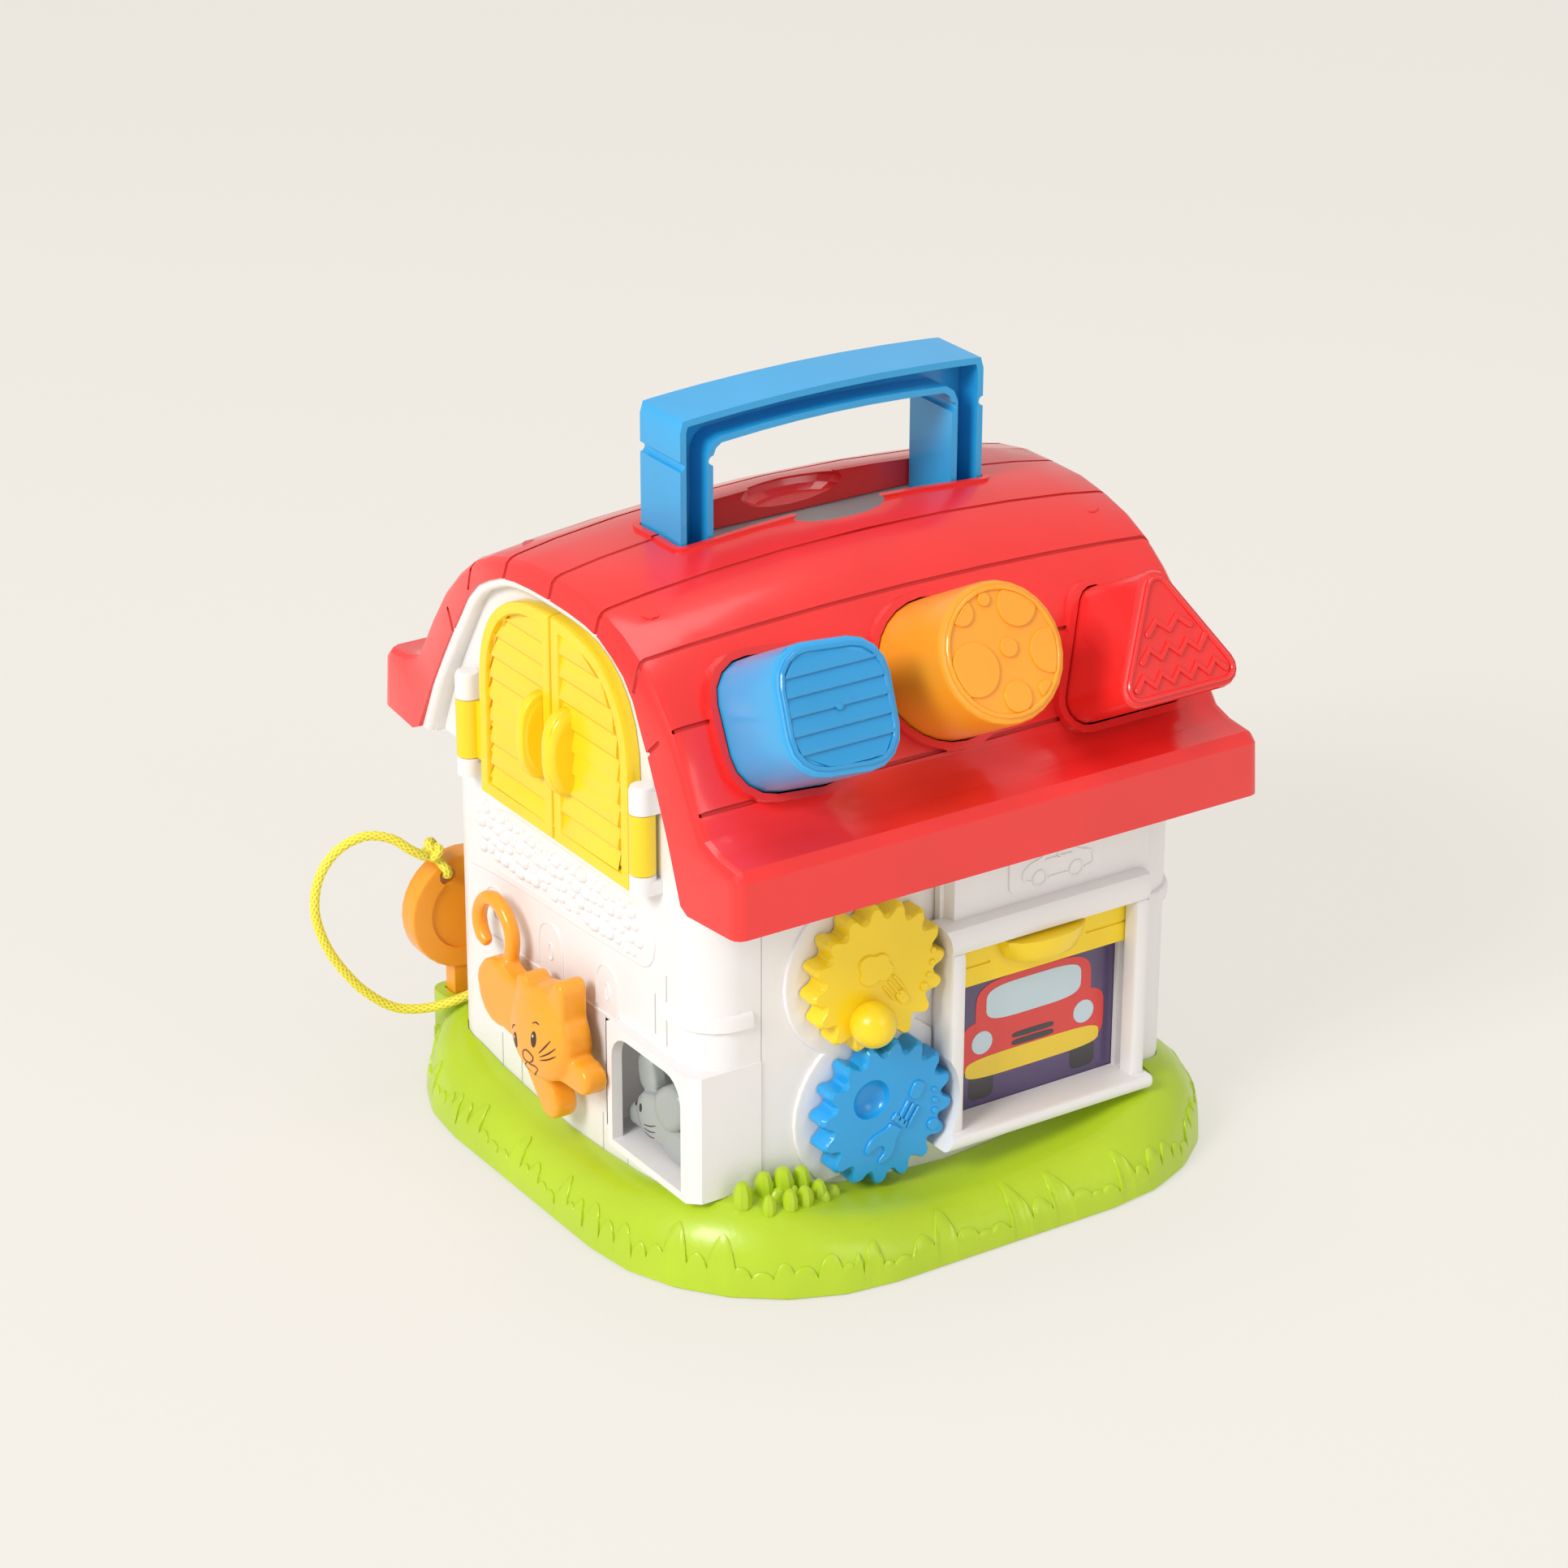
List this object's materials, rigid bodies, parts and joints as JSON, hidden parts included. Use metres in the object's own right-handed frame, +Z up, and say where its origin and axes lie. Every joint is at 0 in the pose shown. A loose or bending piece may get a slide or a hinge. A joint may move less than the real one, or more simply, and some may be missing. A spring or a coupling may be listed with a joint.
{
  "type": "activity house toy",
  "caption": "Toddler's carry-along house with shape blocks, meshing gears, shutters, a sliding garage door, a back door and a key on a rope.",
  "frame": {"origin": "centre of the base tray's footprint, on the surface that the toy stands on", "axes": "+X along the roof ridge away from the shuttered gable, -Y towards the garage side, +Z up"},
  "size_m": [0.2718, 0.247, 0.2815],
  "materials": {
    "lime_plastic": "gloss",
    "white_plastic": "satin",
    "red_plastic": "gloss",
    "blue_plastic": "gloss",
    "sky_plastic": "gloss",
    "yellow_plastic": "gloss",
    "orange_plastic": "gloss",
    "grey_plastic": "satin",
    "printed_card": "laminated",
    "steel": "plated",
    "yellow_rope": "braided"
  },
  "bodies": {
    "house": {"base_tray": "lime_plastic", "base_screw_1": "steel", "base_screw_2": "steel", "base_screw_3": "steel", "base_screw_4": "steel", "left_gable_wall": "white_plastic", "right_gable_wall": "white_plastic", "front_wall": "white_plastic", "back_wall": "white_plastic", "roof_shell": "red_plastic", "roof_screw_1": "steel", "roof_screw_2": "steel", "roof_screw_3": "steel", "roof_screw_4": "steel", "handle_guide": "grey_plastic", "guide_screw_left": "steel", "guide_screw_right": "steel", "garage_surround": "white_plastic", "garage_picture": "printed_card", "left_shutter_pin": "steel", "right_shutter_pin": "steel", "back_door_pin": "steel", "key_rope": "yellow_rope"},
    "handle": {"carry_handle": "blue_plastic"},
    "left_shutter": {"left_shutter": "yellow_plastic"},
    "right_shutter": {"right_shutter": "yellow_plastic"},
    "garage_door": {"garage_door": "yellow_plastic"},
    "yellow_gear": {"yellow_gear": "yellow_plastic", "yellow_gear_washer": "grey_plastic", "yellow_gear_screw": "steel"},
    "blue_gear": {"blue_gear": "blue_plastic", "blue_gear_washer": "grey_plastic", "blue_gear_screw": "steel"},
    "chase": {"chase_slider": "grey_plastic", "cat": "orange_plastic", "mouse": "grey_plastic", "cat_screw": "steel", "mouse_screw": "steel"},
    "square_block": {"square_block": "sky_plastic"},
    "round_block": {"round_block": "orange_plastic"},
    "triangle_block": {"triangle_block": "red_plastic"},
    "key": {"key": "orange_plastic", "rope_knot": "yellow_rope"},
    "back_door": {"back_door": "yellow_plastic"},
    "lock": {"lock_barrel": "orange_plastic", "lock_latch": "grey_plastic", "lock_screw": "steel"}
  },
  "joints": [
    {"name": "handle_slide", "type": "slide", "parent": "house", "child": "handle", "axis": [0, 0, 1], "range_m": [-0.0375, 0]},
    {"name": "left_shutter_hinge", "type": "hinge", "parent": "house", "child": "left_shutter", "pos_m": [-0.1059, 0.0577, 0.1435], "axis": [0, 0, 1], "range_deg": [-120, 0]},
    {"name": "right_shutter_hinge", "type": "hinge", "parent": "house", "child": "right_shutter", "pos_m": [-0.1059, -0.0577, 0.1435], "axis": [0, 0, 1], "range_deg": [0, 120]},
    {"name": "garage_door_slide", "type": "slide", "parent": "house", "child": "garage_door", "axis": [0, 0, 1], "range_m": [-0.0495, 0]},
    {"name": "yellow_gear_spin", "type": "hinge", "parent": "house", "child": "yellow_gear", "pos_m": [-0.0355, -0.085, 0.1005], "axis": [0, -1, 0], "continuous": true},
    {"name": "blue_gear_spin", "type": "hinge", "parent": "house", "child": "blue_gear", "pos_m": [-0.0315, -0.085, 0.0476], "axis": [0, -1, 0], "continuous": true},
    {"name": "chase_slide", "type": "slide", "parent": "house", "child": "chase", "axis": [0, -1, 0], "range_m": [0, 0.012]},
    {"name": "square_block_slide", "type": "slide", "parent": "house", "child": "square_block", "axis": [0, -0.8829, 0.4695], "range_m": [-0.034, 0.017]},
    {"name": "round_block_slide", "type": "slide", "parent": "house", "child": "round_block", "axis": [0, -0.8829, 0.4695], "range_m": [-0.034, 0.017]},
    {"name": "triangle_block_slide", "type": "slide", "parent": "house", "child": "triangle_block", "axis": [0, -0.8829, 0.4695], "range_m": [-0.034, 0.017]},
    {"name": "key_lift", "type": "slide", "parent": "house", "child": "key", "axis": [0, 0, 1], "range_m": [0, 0.024]},
    {"name": "back_door_hinge", "type": "hinge", "parent": "house", "child": "back_door", "pos_m": [0.038, 0.0888, 0.036], "axis": [0, 0, 1], "range_deg": [-110, 0]},
    {"name": "lock_turn", "type": "hinge", "parent": "back_door", "child": "lock", "pos_m": [-0.022, 0.0883, 0.074], "axis": [0, 1, 0], "range_deg": [-90, 0]}
  ],
  "couplings": [
    {"joint": "blue_gear_spin", "follows": "yellow_gear_spin", "ratio": -1}
  ]
}
